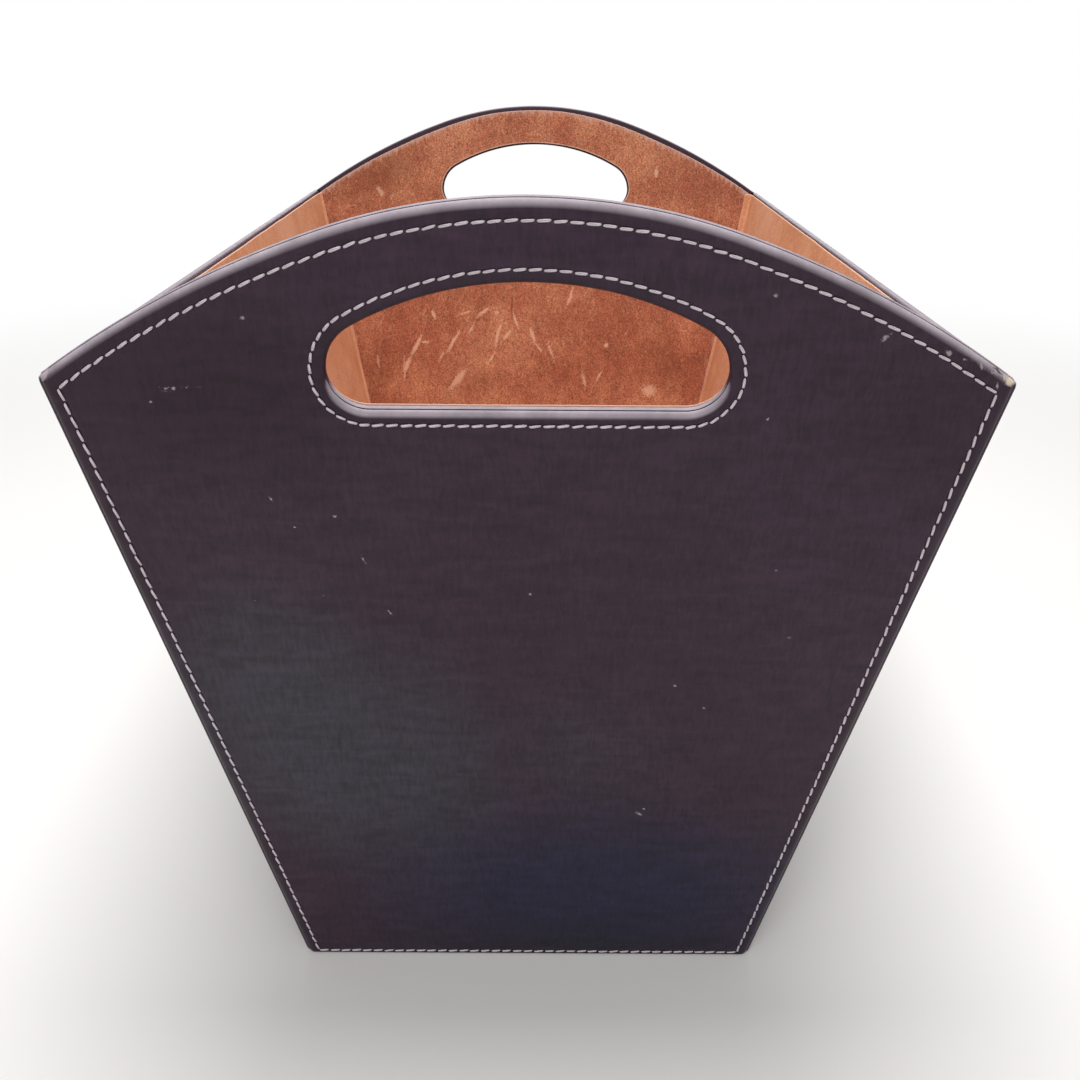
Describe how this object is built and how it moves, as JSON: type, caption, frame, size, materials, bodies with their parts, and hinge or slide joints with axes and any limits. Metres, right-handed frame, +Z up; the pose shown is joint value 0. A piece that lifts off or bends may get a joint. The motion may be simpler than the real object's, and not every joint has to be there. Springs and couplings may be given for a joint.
{
  "type": "magazine basket",
  "caption": "Rigid magazine basket: walls leaning out from a flat base, arched ends with cut-out hand holes, stitched leatherette outside and suede-like lining inside.",
  "frame": {"origin": "on the floor, under the middle of the base", "axes": "+Z up, +Y along the basket from the front end wall to the back end wall, +X to the right seen from the front"},
  "size_m": [0.2904, 0.429, 0.3193],
  "materials": {
    "cover_leatherette": "semi-matt grained aubergine leatherette",
    "facing_card": "raw pale card",
    "carcass_board": "raw fibre board",
    "suede_lining": "flocked rust-tan suede paper",
    "seam_thread": "off-white waxed thread"
  },
  "bodies": {
    "root": {"front_facing_cover": "cover_leatherette", "front_facing_card": "facing_card", "front_wall_board": "carcass_board", "front_rim_wrap": "cover_leatherette", "front_wall_lining": "suede_lining", "front_border_seam": "seam_thread", "front_hand_hole_wrap": "cover_leatherette", "front_hand_hole_seam": "seam_thread", "back_facing_cover": "cover_leatherette", "back_facing_card": "facing_card", "back_wall_board": "carcass_board", "back_rim_wrap": "cover_leatherette", "back_wall_lining": "suede_lining", "back_border_seam": "seam_thread", "back_hand_hole_wrap": "cover_leatherette", "back_hand_hole_seam": "seam_thread", "right_facing_cover": "cover_leatherette", "right_facing_card": "facing_card", "right_wall_board": "carcass_board", "right_rim_wrap": "cover_leatherette", "right_wall_lining": "suede_lining", "right_border_seam": "seam_thread", "left_facing_cover": "cover_leatherette", "left_facing_card": "facing_card", "left_wall_board": "carcass_board", "left_rim_wrap": "cover_leatherette", "left_wall_lining": "suede_lining", "left_border_seam": "seam_thread", "base_cover": "cover_leatherette", "base_board": "carcass_board", "floor_lining": "suede_lining"}
  },
  "joints": []
}
